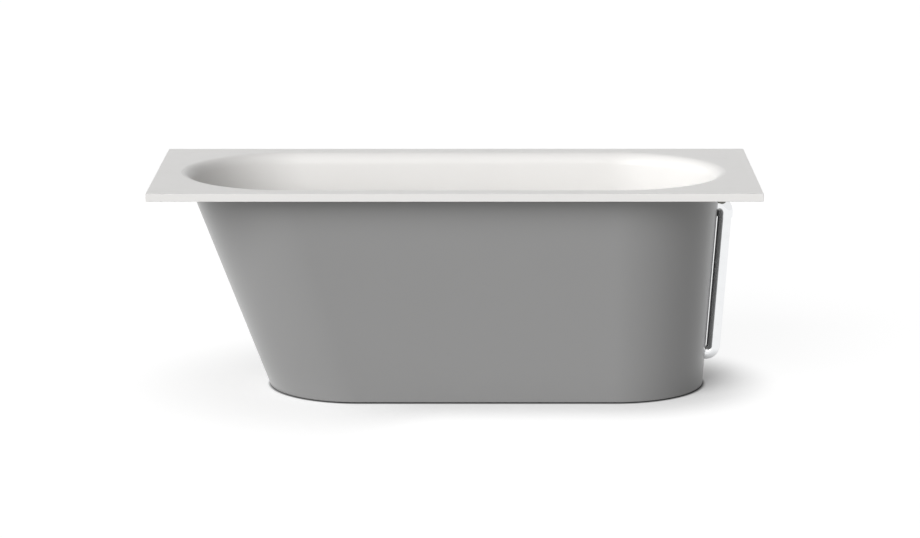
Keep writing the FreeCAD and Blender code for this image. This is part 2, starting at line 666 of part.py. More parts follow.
def trap_cap_seal():
    return ring(TRAP_RADIUS + 2.5, TRAP_RADIUS - TRAP_WALL,
                Vector(TRAP_X, 0, TRAP_BOTTOM_Z - CAP_SEAL_THICKNESS), CAP_SEAL_THICKNESS)


def union_nut(bore, body_bore, length, lip):
    """Grip nut along Z: a lip with a small hole, then a wider threaded bore."""
    outer = body_bore + 5.5
    nut = prism(2 * outer, Vector(), length, UP, 12)
    nut = nut.cut(rod(body_bore, Vector(0, 0, lip), length))
    nut = nut.cut(rod(bore, Vector(), lip))
    edges = [edge for edge in nut.Edges if edge.BoundBox.ZLength > length / 2]
    return nut.makeFillet(2.0, edges)


def pipe_nut():
    """Compression nut of the overflow pipe at the drum."""
    length = 24.0
    nut = union_nut(PIPE_RADIUS + 0.3, PORT_RADIUS + SLIP_FIT, length, 8)
    place = Placement(Vector(PORT_END_X - 12 + length, 0, PIPE_LOW_Z), Rotation(UP, -ALONG))
    return placed(nut, place)


def pipe_washer():
    return ring(PORT_RADIUS - 0.4, PIPE_RADIUS + SLIP_FIT, Vector(PORT_END_X, 0, PIPE_LOW_Z),
                3.9, ALONG)


def outlet_nut():
    """Union nut that holds the outlet elbow, which can turn in it."""
    length = 22.0
    nut = union_nut(OUTLET_RADIUS + 0.4, SPIGOT_RADIUS + SLIP_FIT, length, 3)
    return placed(nut, Placement(Vector(SPIGOT_END_X - 8, 0, OUTLET_Z), Rotation(UP, ALONG)))


def outlet_washer():
    return ring(SPIGOT_RADIUS - 0.3, OUTLET_BORE_RADIUS + 0.5,
                Vector(SPIGOT_END_X - 2, 0, OUTLET_Z), 2, ALONG)


def outlet_elbow():
    """Outlet bend down to the floor drain, with a collar that the union nut holds."""
    start = Vector(SPIGOT_END_X - 2.2, 0, OUTLET_Z)
    corner = Vector(OUTLET_BEND_X, 0, OUTLET_Z)
    end = Vector(OUTLET_BEND_X, 0, OUTLET_END_Z)
    outside = bent_rod(OUTLET_RADIUS, start, corner, end, OUTLET_BEND_RADIUS)
    collar = rod(SPIGOT_RADIUS - 0.4, start, 2.4, -ALONG)
    inside = bent_rod(OUTLET_BORE_RADIUS, start + ALONG, corner, end - UP, OUTLET_BEND_RADIUS)
    return union([outside, collar]).cut(inside)


# ---- overflow -------------------------------------------------------------------------------

def overflow_elbow():
    """Elbow from the wall to the pipe's socket, with a boss for the cover's screw."""
    start = Vector(0, 0, ELBOW_FACE)
    corner = Vector(0, 0, PIPE_AXIS_OFFSET)
    end = Vector(ELBOW_BEND_RADIUS + SOCKET_DEPTH, 0, PIPE_AXIS_OFFSET)
    outside = bent_rod(ELBOW_RADIUS, start, corner, end, ELBOW_BEND_RADIUS)
    bore = bent_rod(ELBOW_BORE_RADIUS, start - UP, corner, end + ALONG, ELBOW_BEND_RADIUS)
    socket = rod(PIPE_RADIUS + SLIP_FIT, Vector(ELBOW_BEND_RADIUS, 0, PIPE_AXIS_OFFSET),
                 SOCKET_DEPTH + 1, ALONG)
    elbow = outside.cut(bore).cut(socket)
    boss_z = ELBOW_FACE + OVERFLOW_BOSS_NEAR
    boss = rod(OVERFLOW_SCREW_RADIUS + 3, Vector(0, 0, boss_z), OVERFLOW_BOSS_DEPTH)
    bar = block(Vector(-1.5, -ELBOW_BORE_RADIUS - 1, boss_z),
                Vector(1.5, ELBOW_BORE_RADIUS + 1, boss_z + OVERFLOW_BOSS_DEPTH - 3))
    screw_hole = rod(OVERFLOW_SCREW_RADIUS + SLIP_FIT, Vector(0, 0, boss_z - 1),
                     OVERFLOW_BOSS_DEPTH + 2)
    return placed(union([elbow, bar, boss]).cut(screw_hole), OVERFLOW_PLACE)


def overflow_pipe():
    """One bent pipe: down the end wall, round the bottom bend and in to the drum."""
    top = OVERFLOW_PLACE.multVec(Vector(ELBOW_BEND_RADIUS + 0.5, 0, PIPE_AXIS_OFFSET))
    down = Vector(-math.sin(LEAN), 0, -math.cos(LEAN))
    corner = top + down * ((top.z - PIPE_LOW_Z) / math.cos(LEAN))
    end = Vector(PIPE_INNER_END_X, 0, PIPE_LOW_Z)
    outside = bent_rod(PIPE_RADIUS, top, corner, end, PIPE_BEND_RADIUS)
    inside = bent_rod(PIPE_RADIUS - PIPE_WALL, top - down, corner, end - ALONG, PIPE_BEND_RADIUS)
    return outside.cut(inside)


def overflow_seal():
    seal = ring(ELBOW_RADIUS - 0.5, ELBOW_BORE_RADIUS, Vector(0, 0, SEAL_FACE), SEAL_THICKNESS)
    return placed(seal, OVERFLOW_PLACE)


def overflow_plate():
    """Round cover inside the bowl, with a row of slots round its rim and a ring of holes."""
    back = PLATE_FACE
    front = PLATE_FACE - PLATE_DEPTH
    plate = turned([
        (0, front), (PLATE_RADIUS - 2.5, front), (PLATE_RADIUS, front + 2.5),
        (PLATE_RADIUS, back), (PLATE_RADIUS - 2.2, back), (PLATE_RADIUS - 2.2, front + 2.5),
        (0, front + 2.5)])
    slot_half_width = 2.2
    for slot in range(20):
        cutter = block(Vector(PLATE_RADIUS - 5, -slot_half_width, back - 4.5),
                       Vector(PLATE_RADIUS + 5, slot_half_width, back - 1.5))
        cutter.rotate(Vector(), UP, 18 * slot)
        plate = plate.cut(cutter)
    screw_hole = rod(OVERFLOW_SCREW_RADIUS + 0.3, Vector(0, 0, front - 1), 5)
    return placed(plate.cut(screw_hole), OVERFLOW_PLACE)


def overflow_screw():
    front = PLATE_FACE - PLATE_DEPTH
    tip = ELBOW_FACE + OVERFLOW_BOSS_NEAR + OVERFLOW_BOSS_DEPTH - 1
    head = turned([(0, front - 2.8), (4.6, front - 2.8), (6, front - 1.4), (6, front),
                   (0, front)])
    shank = rod(OVERFLOW_SCREW_RADIUS, Vector(0, 0, front - 0.5), tip - front + 0.5)
    socket = prism(4, Vector(0, 0, front - 2.9), 1.9)
    return placed(head.fuse(shank).cut(socket), OVERFLOW_PLACE)


# ---- all pieces -----------------------------------------------------------------------------

def all_pieces():
    pieces = {
        "basin": basin(),
        "outer_shell": outer_shell(),
        "base_board": base_board(),
        "rail_screws": rail_screws(),
        "foot_nuts_upper": foot_nuts(BOARD_BOTTOM_Z),
        "foot_nuts_lower": foot_nuts(WEB_BOTTOM_Z - FOOT_NUT_HEIGHT),
        "shell_brackets": shell_brackets(),
        "bracket_bolts": bracket_bolts(),
        "bracket_nuts": bracket_nuts(),
        "waste_flange": waste_flange(),
        "waste_seal_top": waste_seal_top(),
        "waste_seal_bottom": waste_seal_bottom(),
        "plug_cartridge": plug_cartridge(),
        "plug_spring": plug_spring(),
        "plug_stem": plug_stem(),
        "plug_cap": plug_cap(),
        "plug_seal": plug_seal(),
        "trap_body": trap_body(),
        "trap_baffle": trap_baffle(),
        "trap_cap": trap_cap(),
        "trap_cap_seal": trap_cap_seal(),
        "pipe_nut": pipe_nut(),
        "pipe_washer": pipe_washer(),
        "outlet_nut": outlet_nut(),
        "outlet_washer": outlet_washer(),
        "outlet_elbow": outlet_elbow(),
        "overflow_elbow": overflow_elbow(),
        "overflow_pipe": overflow_pipe(),
        "overflow_seal": overflow_seal(),
        "overflow_plate": overflow_plate(),
        "overflow_screw": overflow_screw(),
    }
    for end, x in RAIL_X.items():
        pieces[f"cross_rail_{end}"] = cross_rail(x)
        for side, y in (("front", -FOOT_Y), ("back", FOOT_Y)):
            pieces[f"foot_stud_{side}_{end}"] = foot_stud(x, y)
            pieces[f"foot_pad_{side}_{end}"] = foot_pad(x, y)
    return pieces


os.makedirs("parts", exist_ok=True)
for name, shape in all_pieces().items():
    print(f"{name}: {len(shape.Solids)} solid(s), {shape.Volume / 1000:.2f} cm3, "
          f"valid {shape.isValid()}")
    shape.exportStep(f"parts/{name}.step")
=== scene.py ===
import json
import math

import bpy
from bpy.props import FloatProperty, FloatVectorProperty, IntProperty, PointerProperty
from mathutils import Matrix, Vector

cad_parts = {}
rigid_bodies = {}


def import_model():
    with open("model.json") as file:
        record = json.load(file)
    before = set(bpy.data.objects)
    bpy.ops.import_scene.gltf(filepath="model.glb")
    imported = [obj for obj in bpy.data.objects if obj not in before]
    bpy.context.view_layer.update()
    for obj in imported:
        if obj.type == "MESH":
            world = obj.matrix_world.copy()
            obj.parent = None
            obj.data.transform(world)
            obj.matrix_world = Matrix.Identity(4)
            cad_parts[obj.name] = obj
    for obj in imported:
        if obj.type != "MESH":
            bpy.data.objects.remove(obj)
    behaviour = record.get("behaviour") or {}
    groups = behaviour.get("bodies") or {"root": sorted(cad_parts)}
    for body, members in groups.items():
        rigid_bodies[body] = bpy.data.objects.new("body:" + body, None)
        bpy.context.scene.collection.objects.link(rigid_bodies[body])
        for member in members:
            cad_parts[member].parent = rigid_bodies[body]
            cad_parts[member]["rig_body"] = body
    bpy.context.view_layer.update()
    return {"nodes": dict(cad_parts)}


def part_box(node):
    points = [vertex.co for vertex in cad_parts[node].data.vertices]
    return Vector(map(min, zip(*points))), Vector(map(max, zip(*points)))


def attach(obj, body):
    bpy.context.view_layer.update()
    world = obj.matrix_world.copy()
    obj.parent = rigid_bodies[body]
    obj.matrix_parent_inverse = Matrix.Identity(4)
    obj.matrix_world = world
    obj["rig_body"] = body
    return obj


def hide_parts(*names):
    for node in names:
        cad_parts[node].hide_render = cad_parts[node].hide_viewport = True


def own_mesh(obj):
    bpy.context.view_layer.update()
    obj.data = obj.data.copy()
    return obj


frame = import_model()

bl_info = {
    "name": "Built-in bath",
    "version": (1, 0, 0),
    "blender": (4, 5, 0),
    "location": "View3D > Sidebar > Bath",
    "description": "Finishes, painted shell, threads, fasteners and studio of a built-in bath",
    "category": "Object",
}

MM = 0.001
NODES = frame["nodes"]

# The shell's outline: end radius, left centre and right centre, each at two heights. Then the
# bowl's left and right centres at two heights, and the mean radius of its ends.
SHELL_HEIGHTS = (0 * MM, 598 * MM)
SHELL_OUTLINE = ((262 * MM, 305 * MM), (-271 * MM, -458 * MM), (450 * MM, 450 * MM))
BOWL_HEIGHTS = (159 * MM, 598 * MM)
BOWL_CENTRES = ((-315 * MM, -459 * MM), (460 * MM, 450 * MM))
BOWL_RADIUS = 270 * MM
RIM_UNDERSIDE = 598 * MM

# The shell's rounded edges, its round hole for the overflow pipe and its slot for the elbow.
SHELL_EDGE = 1.2 * MM
PIPE_HOLE_RADIUS = 22 * MM
PIPE_HOLE_HEIGHT = 89 * MM
ELBOW_SLOT_RADIUS = 24 * MM
ELBOW_CORNER_HEIGHT = 523 * MM
PIPE_OFFSET = 23.2 * MM             # from the shell's face to the pipe's axis

BOARD_UNDERSIDE = 137 * MM
PLY_PAIR = 3.6 * MM                 # one ply with long grain and one with end grain

# Bolts of the shell's brackets and studs of the feet: across flats, faces of the hexagon, and the
# threaded rod's low end and length. All stand along Z.
RAIL_PLACES = (-180 * MM, 280 * MM)
BOLT_PLACES = [(x, y, 0) for x in RAIL_PLACES for y in (-222 * MM, 222 * MM)]
BOLT_FLATS = 10 * MM
BOLT_HEAD = (139.5 * MM, 143.5 * MM)
BOLT_NUT = (129.5 * MM, 134.5 * MM)
BOLT_ROD = (123.5 * MM, 17 * MM)
STUD_FLATS = 17 * MM
STUD_HEXAGON = (15 * MM, 23 * MM)
STUD_ROD = (5 * MM, 145 * MM)
FEET = [(end, side, x, y) for end, x in zip(("left", "right"), RAIL_PLACES)
        for side, y in (("front", -185 * MM), ("back", 185 * MM))]
THREAD_DEPTH = 0.46                 # of the pitch
THREAD_ROWS = 8                     # rings of points on one turn of a thread

SPRING_TURNS = 6
SPRING_STEPS = 48                   # points on one turn of the spring

# How white the floor glows by itself close to the bath, where the dimmer glow is painted shade,
# and further away, the distance over which that changes, and the two distances from the shell's
# outline between which the thin painted contact shade at its foot fades.
PAINTED_SHADE_GLOW_NEAR = 0.2
FLOOR_GLOW = 0.9
FLOOR_FADE = 0.24
PAINTED_CONTACT_SHADE = (-0.002, 0.012)

# The directions in which the lamps stand, and how wide they are in degrees. The background's
# white is what the camera and reflections see.
KEY_FROM = (-0.49, -0.755, 0.44)
KEY_WIDTH = 50
SIDE_FROM = (-1.0, 0.3, 0.25)
SIDE_WIDTH = 60
BACKGROUND_WHITE = 0.95


# ---- node trees -----------------------------------------------------------------------------

class Signal:
    """A node's output. Arithmetic on it adds Math nodes to the tree it belongs to."""

    def __init__(self, tree, socket):
        self.tree = tree
        self.socket = socket

    def math(self, operation, first, second=None):
        values = {0: first} if second is None else {0: first, 1: second}
        return self.tree.node("ShaderNodeMath", {"operation": operation}, values)

    def __add__(self, other):
        return self.math("ADD", self, other)

    def __radd__(self, other):
        return self.math("ADD", other, self)

    def __sub__(self, other):
        return self.math("SUBTRACT", self, other)

    def __rsub__(self, other):
        return self.math("SUBTRACT", other, self)

    def __mul__(self, other):
        return self.math("MULTIPLY", self, other)

    def __rmul__(self, other):
        return self.math("MULTIPLY", other, self)

    def __truediv__(self, other):
        return self.math("DIVIDE", self, other)

    def __gt__(self, other):
        return self.math("GREATER_THAN", self, other)

    def __lt__(self, other):
        return self.math("LESS_THAN", self, other)

    def __abs__(self):
        return self.math("ABSOLUTE", self)

    def root(self):
        return self.math("SQRT", self)

    def sine(self):
        return self.math("SINE", self)

    def cosine(self):
        return self.math("COSINE", self)

    def fraction(self):
        return self.math("FRACT", self)

    def at_least(self, other):
        return self.math("MAXIMUM", self, other)

    def at_most(self, other):
        return self.math("MINIMUM", self, other)

    def clamped(self):
        """The value kept between 0 and 1."""
        return self.at_least(0.0).at_most(1.0)

    def part(self, name):
        """Another output of the same node."""
        return Signal(self.tree, self.socket.node.outputs[name])


class Tree:
    """A node tree that is being built."""

    def __init__(self, tree):
        self.tree = tree
        tree.nodes.clear()

    def node(self, kind, settings=None, sockets=None, output=0):
        """Adds a node, sets its settings and then its sockets, and returns one output."""
        made = self.tree.nodes.new(kind)
        for name, value in (settings or {}).items():
            setattr(made, name, value)
        for key, value in (sockets or {}).items():
            self.feed(made.inputs[key], value)
        return Signal(self, made.outputs[output]) if made.outputs else None

    def feed(self, socket, value):
        """Gives a socket a value, a link, or a list of links."""
        if isinstance(value, Signal):
            self.tree.links.new(value.socket, socket)
        elif isinstance(value, list):
            for signal in value:
                self.tree.links.new(signal.socket, socket)
        else:
            socket.default_value = value

    def vector(self, x, y, z):
        return self.node("ShaderNodeCombineXYZ", {}, {0: x, 1: y, 2: z})

    def components(self, vector):
        split = self.node("ShaderNodeSeparateXYZ", {}, {0: vector})
        return split, split.part("Y"), split.part("Z")


def between(value, heights, ends):
    """Straight line through two heights, as node arithmetic."""
    slope = (ends[1] - ends[0]) / (heights[1] - heights[0])
    return value * slope + (ends[0] - slope * heights[0])


# ---- finishes -------------------------------------------------------------------------------

class Finish(Tree):
    """A procedural material in the piece's own metres."""

    def __init__(self, name):
        self.material = bpy.data.materials.new(name)
        self.material.use_nodes = True
        super().__init__(self.material.node_tree)
        self.place = self.node("ShaderNodeTexCoord", output="Object")
        self.x, self.y, self.z = self.components(self.place)

    def stretched(self, x, y, z):
        """Object coordinates multiplied along each axis."""
        return self.node("ShaderNodeVectorMath", {"operation": "MULTIPLY"},
                         {0: self.place, 1: (x, y, z)})

    def noise(self, size, detail=2.0, vector=None):
        """Soft noise from 0 to 1, mostly near a half, with features of a size in metres."""
        return self.node("ShaderNodeTexNoise", {},
                         {"Vector": vector or self.place, "Scale": 1 / size, "Detail": detail})

    def cells(self, size, feature="F1", output="Distance", vector=None):
        """Voronoi cells of a size in metres."""
        return self.node("ShaderNodeTexVoronoi", {"feature": feature},
                         {"Vector": vector or self.place, "Scale": 1 / size}, output)

    def ramp(self, value, low, high):
        """0 below low, 1 above high and smooth between them."""
        return self.node("ShaderNodeMapRange", {"interpolation_type": "SMOOTHSTEP"},
                         {"Value": value, "From Min": low, "From Max": high})

    def mix(self, amount, first, second):
        """A colour between two colours."""
        return self.node("ShaderNodeMix", {"data_type": "RGBA", "clamp_factor": True},
                         {0: amount, 6: first, 7: second}, output=2)

    def shaded(self, colour, amount):
        """A colour made lighter or darker by a factor that varies."""
        return self.node("ShaderNodeVectorMath", {"operation": "SCALE"},
                         {0: tuple(colour), "Scale": amount})

    def relief(self, height):
        """Normal of a relief whose height is given in millimetres."""
        return self.node("ShaderNodeBump", {}, {"Height": height, "Distance": MM, "Strength": 1.0})

    def surface(self, sockets):
        """Ends the material in one shader with these sockets."""
        shader = self.node("ShaderNodeBsdfPrincipled", {}, sockets)
        self.node("ShaderNodeOutputMaterial", {}, {"Surface": shader})
        return self.material


def rgba(colour):
    return (*colour, 1.0)


def tone(colour, factor):
    """A darker or lighter copy of a colour."""
    return tuple(min(channel * factor, 1.0) for channel in colour)


def distance_from_axis(finish, heights, outline):
    """Distance in plan from the straight line between the bath's two end centres."""
    radii, lefts, rights = outline
    left = between(finish.z, heights, lefts)
    right = between(finish.z, heights, rights)
    past_end = (finish.x - right).at_least(left - finish.x).at_least(0.0)
    return (past_end * past_end + finish.y * finish.y).root()


def bowl_outside(finish):
    """1 where the bowl faces outwards or down, below the rim, and 0 inside it and on the rim."""
    facing_x, facing_y, facing_z = finish.components(
        finish.node("ShaderNodeTexCoord", output="Normal"))
    left = between(finish.z, BOWL_HEIGHTS, BOWL_CENTRES[0])
    right = between(finish.z, BOWL_HEIGHTS, BOWL_CENTRES[1])
    past_end = (finish.x - right).at_least(0.0) - (left - finish.x).at_least(0.0)
    outwards = past_end * facing_x + finish.y * facing_y - facing_z * BOWL_RADIUS
    return (outwards > 0.0) * (finish.z < RIM_UNDERSIDE + 0.3 * MM)


def acrylic_finish(colour, backing_colour):
    """White acrylic sheet, and on the bowl's outside its rolled glass-fibre backing."""
    finish = Finish("white_acrylic")
    backing = bowl_outside(finish)
    drift = finish.noise(0.35, 3.0)
    strands = finish.noise(0.004, 4.0, finish.stretched(1.0, 7.0, 1.0))
    cross_strands = finish.noise(0.004, 4.0, finish.stretched(7.0, 1.0, 5.0))
    mat = strands.at_least(cross_strands)
    resin = finish.mix(finish.ramp(mat, 0.45, 0.75), rgba(tone(backing_colour, 0.82)),
                       rgba(tone(backing_colour, 1.12)))
    acrylic = finish.shaded(colour, 0.985 + drift * 0.03)
    water_marks = finish.ramp(finish.noise(0.05, 5.0), 0.52, 0.75)
    smooth = 0.28 + water_marks * 0.07
    rough = 0.5 + mat * 0.25
    ripple = finish.noise(0.12, 1.0) * 0.06 + finish.noise(0.008, 2.0) * 0.004
    return finish.surface({
        "Base Color": finish.mix(backing, acrylic, resin),
        "Roughness": smooth + (rough - smooth) * backing,
        "Normal": finish.relief(ripple + (mat * 0.9 - ripple) * backing),
        "IOR": 1.49,
        "Specular IOR Level": 0.25,
    })


def shell_paint_finish(colour):
    """Satin grey paint, with a fine sprayed texture and light scuffs along the lower edge."""
    finish = Finish("satin_grey_paint")
    drift = finish.noise(0.3, 3.0)
    speckle = finish.noise(0.0012, 2.0)
    scuffed_zone = 1 - finish.ramp(finish.z, 5 * MM, 24 * MM)
    scuffs = finish.ramp(finish.noise(0.012, 6.0, finish.stretched(1.0, 1.0, 3.0)), 0.5, 0.75)
    scuff = scuffed_zone * scuffs
    paint = finish.shaded(colour, 0.975 + drift * 0.03 + speckle * 0.02)
    sprayed = finish.noise(0.0022, 2.0) * 0.012
    return finish.surface({
        "Base Color": finish.mix(scuff * 0.08, paint, rgba(tone(colour, 1.35))),
        "Roughness": 0.285 + drift * 0.05 + scuff * 0.08,
        "Normal": finish.relief(sprayed),
        "Coat Weight": 0.3,
        "Coat Roughness": 0.25,
    })


def chrome_finish(colour):
    """Polished chrome with faint water spots."""
    finish = Finish("polished_chrome")
    haze = finish.ramp(finish.noise(0.03, 4.0), 0.45, 0.8)
    spots = 1 - finish.ramp(finish.cells(0.006), 0.08, 0.16)
    drops = spots * finish.ramp(finish.noise(0.02), 0.5, 0.6)
    return finish.surface({
        "Base Color": finish.mix(haze * 0.5, rgba(colour), rgba(tone(colour, 0.94))),
        "Metallic": 1.0,
        "Roughness": 0.035 + haze * 0.05 + drops * 0.12,
        "Normal": finish.relief(finish.noise(0.015, 1.0) * 0.006),
    })


def zinc_finish(colour):
    """Zinc-plated steel: small crystals, dull patches and fine draw lines."""
    finish = Finish("zinc_plated_steel")
    crystal = finish.cells(0.005, output="Color")
    dull = finish.ramp(finish.noise(0.02, 4.0), 0.45, 0.7)
    lines = finish.noise(0.002, 3.0, finish.stretched(6.0, 0.6, 1.0))
    bright = finish.mix(crystal, rgba(tone(colour, 0.84)), rgba(tone(colour, 1.16)))
    return finish.surface({
        "Base Color": finish.mix(dull * 0.6, bright, rgba((0.5, 0.5, 0.48))),
        "Metallic": 0.95 - dull * 0.25,
        "Roughness": 0.28 + dull * 0.2 + crystal * 0.08,
        "Normal": finish.relief(lines * 0.012 + crystal * 0.004),
    })


def spring_wire_finish(colour):
    """Drawn stainless wire with faint draw lines."""
    finish = Finish("spring_wire")
    lines = finish.noise(0.0006, 3.0, finish.stretched(1.0, 1.0, 6.0))
    return finish.surface({
        "Base Color": finish.mix(lines, rgba(tone(colour, 0.85)), rgba(tone(colour, 1.15))),
        "Metallic": 1.0,
        "Roughness": 0.22 + lines * 0.16,
        "Normal": finish.relief(lines * 0.008),
    })


def rubber_finish(colour):
    """Black moulded rubber with a grey bloom."""
    finish = Finish("black_rubber")
    bloom = finish.ramp(finish.noise(0.012, 4.0), 0.48, 0.75)
    grain = finish.noise(0.0007, 3.0)
    return finish.surface({
        "Base Color": finish.mix(bloom * 0.5, rgba(colour), rgba((0.085, 0.083, 0.08))),
        "Roughness": 0.62 + bloom * 0.2,
        "Normal": finish.relief(grain * 0.02),
    })


def white_plastic_finish(colour):
    """Moulded white polypropylene with faint flow marks and a fine spark texture."""
    finish = Finish("moulded_white_plastic")
    flow = finish.noise(0.03, 3.0, finish.stretched(1.0, 1.0, 0.35))
    spark = finish.noise(0.0009, 2.0)
    worn = finish.ramp(finish.noise(0.04, 5.0), 0.5, 0.78)
    return finish.surface({
        "Base Color": finish.shaded(colour, 0.96 + flow * 0.07),
        "Roughness": 0.3 + flow * 0.1 + worn * 0.12,
        "Normal": finish.relief(spark * 0.012 + flow * 0.02),
        "IOR": 1.49,
    })


def grained_plastic_finish(colour):
    """Black plastic with a leathery mould grain, dusty in its hollows."""
    finish = Finish("grained_black_plastic")
    grain = finish.ramp(finish.cells(0.0011, "DISTANCE_TO_EDGE"), 0.0, 0.22)
    dust = finish.ramp(finish.noise(0.015, 5.0), 0.45, 0.75)
    return finish.surface({
        "Base Color": finish.mix(dust * (1 - grain * 0.6) * 0.45, rgba(colour),
                                 rgba((0.19, 0.18, 0.165))),
        "Roughness": 0.46 + dust * 0.25,
        "Normal": finish.relief(grain * 0.06),
    })


def plywood_finish(colour):
    """Birch plywood: long grain on the faces, and its plies on the edges."""
    finish = Finish("birch_plywood")
    fibres = finish.noise(0.003, 5.0, finish.stretched(0.06, 1.0, 1.0))
    bands = finish.node("ShaderNodeTexWave", {"bands_direction": "Y", "wave_profile": "SAW"},
                        {"Vector": finish.stretched(0.1, 1.0, 1.0), "Scale": 22.0,
                         "Distortion": 9.0, "Detail": 4.0, "Detail Scale": 1.5}, "Fac")
    end_grain = ((finish.z - BOARD_UNDERSIDE) * (1 / PLY_PAIR)).fraction() > 0.5
    pores = finish.ramp(finish.noise(0.0011, 2.0), 0.5, 0.68)
    long_grain = finish.mix(bands * 0.3 + fibres * 0.55, rgba(tone(colour, 1.12)),
                            rgba(tone(colour, 0.66)))
    cut_ends = finish.mix(pores, rgba(tone(colour, 0.62)), rgba(tone(colour, 0.36)))
    return finish.surface({
        "Base Color": finish.mix(end_grain, long_grain, cut_ends),
        "Roughness": 0.5 + fibres * 0.22,
        "Normal": finish.relief(fibres * 0.1 - pores * end_grain * 0.12),
    })


def give(material, *nodes):
    """Puts a finish on CAD nodes that are shown as they are."""
    for name in nodes:
        for slot in NODES[name].material_slots:
            slot.material = material


def slot_nodes(material, slot):
    """Puts a finish on every CAD node that names a material slot of the record."""
    found = [node for node, piece in NODES.items()
             if piece.material_slots[0].material.name.split(".")[0] == slot]
    if not found:
        raise RuntimeError(f"no piece of the bath takes the finish {slot}")
    give(material, *found)


# ---- shaped and repeated pieces -------------------------------------------------------------

SOCKET_KINDS = {float: "NodeSocketFloat", int: "NodeSocketInt",
                bpy.types.Object: "NodeSocketObject", bpy.types.Material: "NodeSocketMaterial"}


class Shaper(Tree):
    """A Geometry Nodes tree with named inputs, which ends in one mesh with one material."""

    def __init__(self, name, inputs):
        group = bpy.data.node_groups.new(name, "GeometryNodeTree")
        super().__init__(group)
        sockets = group.interface
        sockets.new_socket("Geometry", in_out="INPUT", socket_type="NodeSocketGeometry")
        sockets.new_socket("Geometry", in_out="OUTPUT", socket_type="NodeSocketGeometry")
        self.values = inputs
        self.identifiers = {}
        for label, value in inputs.items():
            kind = next(kind for known, kind in SOCKET_KINDS.items() if isinstance(value, known))
            made = sockets.new_socket(label, in_out="INPUT", socket_type=kind)
            self.identifiers[label] = made.identifier
        self.source = self.node("NodeGroupInput")

    def input(self, label):
        return self.source.part(label)

    def merged(self, geometry):
        return self.node("GeometryNodeMergeByDistance", {},
                         {"Geometry": geometry, "Distance": 0.002 * MM})

    def finish(self, geometry):
        """Ends the tree in real geometry with the material."""
        real = self.node("GeometryNodeRealizeInstances", {}, {"Geometry": geometry})
        done = self.node("GeometryNodeSetMaterial", {},
                         {"Geometry": real, "Material": self.input("Material")})
        self.node("NodeGroupOutput", {}, {"Geometry": done})

    def mesh_on(self, name, start):
        """Runs the tree on a starting mesh and returns the result as a plain object."""
        worker = bpy.data.objects.new(name + "_start", start)
        bpy.context.scene.collection.objects.link(worker)
        modifier = worker.modifiers.new(name, "NODES")
        modifier.node_group = self.tree
        for label, value in self.values.items():
            modifier[self.identifiers[label]] = value
        evaluated = worker.evaluated_get(bpy.context.evaluated_depsgraph_get())
        mesh = bpy.data.meshes.new_from_object(evaluated)
        worker.modifiers.remove(modifier)
        bpy.data.objects.remove(worker)
        return linked_piece(name, mesh)


def linked_piece(name, mesh):
    piece = bpy.data.objects.new(name, mesh)
    bpy.context.scene.collection.objects.link(piece)
    return piece


def sharpened(mesh, degrees):
    """Smooth shading that breaks at edges sharper than an angle."""
    mesh.shade_smooth()
    mesh.set_sharp_from_angle(angle=math.radians(degrees))


def points_mesh(name, points, edges=()):
    mesh = bpy.data.meshes.new(name)
    mesh.from_pydata(points, edges, [])
    return mesh


def stands_for(piece, node):
    """Makes a finished piece ride with the body of the CAD node that it replaces, and hides that
    node.
    """
    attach(piece, NODES[node]["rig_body"])
    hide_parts(node)
    return piece


def hexagon_radius(angle, across_flats):
    """Distance from a hexagon's axis to its side, at an angle round the axis."""
    turn = (angle + math.pi / 6) % (math.pi / 3) - math.pi / 6
    return across_flats / 2 / math.cos(turn)


def hexagon_mesh(name, across_flats, low, high, bore=0.0):
    """Hexagon along Z with both faces chamfered at 30 degrees, and a bore with eased edges."""
    around = 72
    face_radius = across_flats * 0.475
    chamfer_slope = math.tan(math.radians(30))
    points = []
    for step in range(around):
        angle = 2 * math.pi * step / around
        corner = hexagon_radius(angle, across_flats)
        chamfer = max(corner - face_radius, 0.0) * chamfer_slope
        profile = [(face_radius, low), (corner, low + chamfer), (corner, high - chamfer),
                   (face_radius, high)]
        if bore:
            ease = 0.08 * bore
            profile += [(bore + ease, high), (bore, high - ease), (bore, low + ease),
                        (bore + ease, low)]
        points += [(r * math.cos(angle), r * math.sin(angle), z) for r, z in profile]
    rows = len(points) // around
    faces = []
    for step in range(around):
        here = step * rows
        there = (step + 1) % around * rows
        for row in range(rows if bore else rows - 1):
            after = (row + 1) % rows
            faces.append((here + row, there + row, there + after, here + after))
    if not bore:
        faces.append([step * rows for step in reversed(range(around))])
        faces.append([step * rows + rows - 1 for step in range(around)])
    mesh = bpy.data.meshes.new(name)
    mesh.from_pydata(points, [], faces)
    sharpened(mesh, 20)
    return mesh


def repeated_piece(name, places, pattern_mesh, material):
    """Copies of one pattern at given places, as one mesh."""
    pattern = linked_piece(name + "_pattern", pattern_mesh)
    shaper = Shaper(name, {"Pattern": pattern, "Material": material})
    shape = shaper.node("GeometryNodeObjectInfo", {"transform_space": "ORIGINAL"},
                        {"Object": shaper.input("Pattern")}, "Geometry")
    copies = shaper.node("GeometryNodeInstanceOnPoints", {},
                         {"Points": shaper.input("Geometry"), "Instance": shape})
    shaper.finish(copies)
    piece = shaper.mesh_on(name, points_mesh(name, places))
    bpy.data.objects.remove(pattern)
    return piece


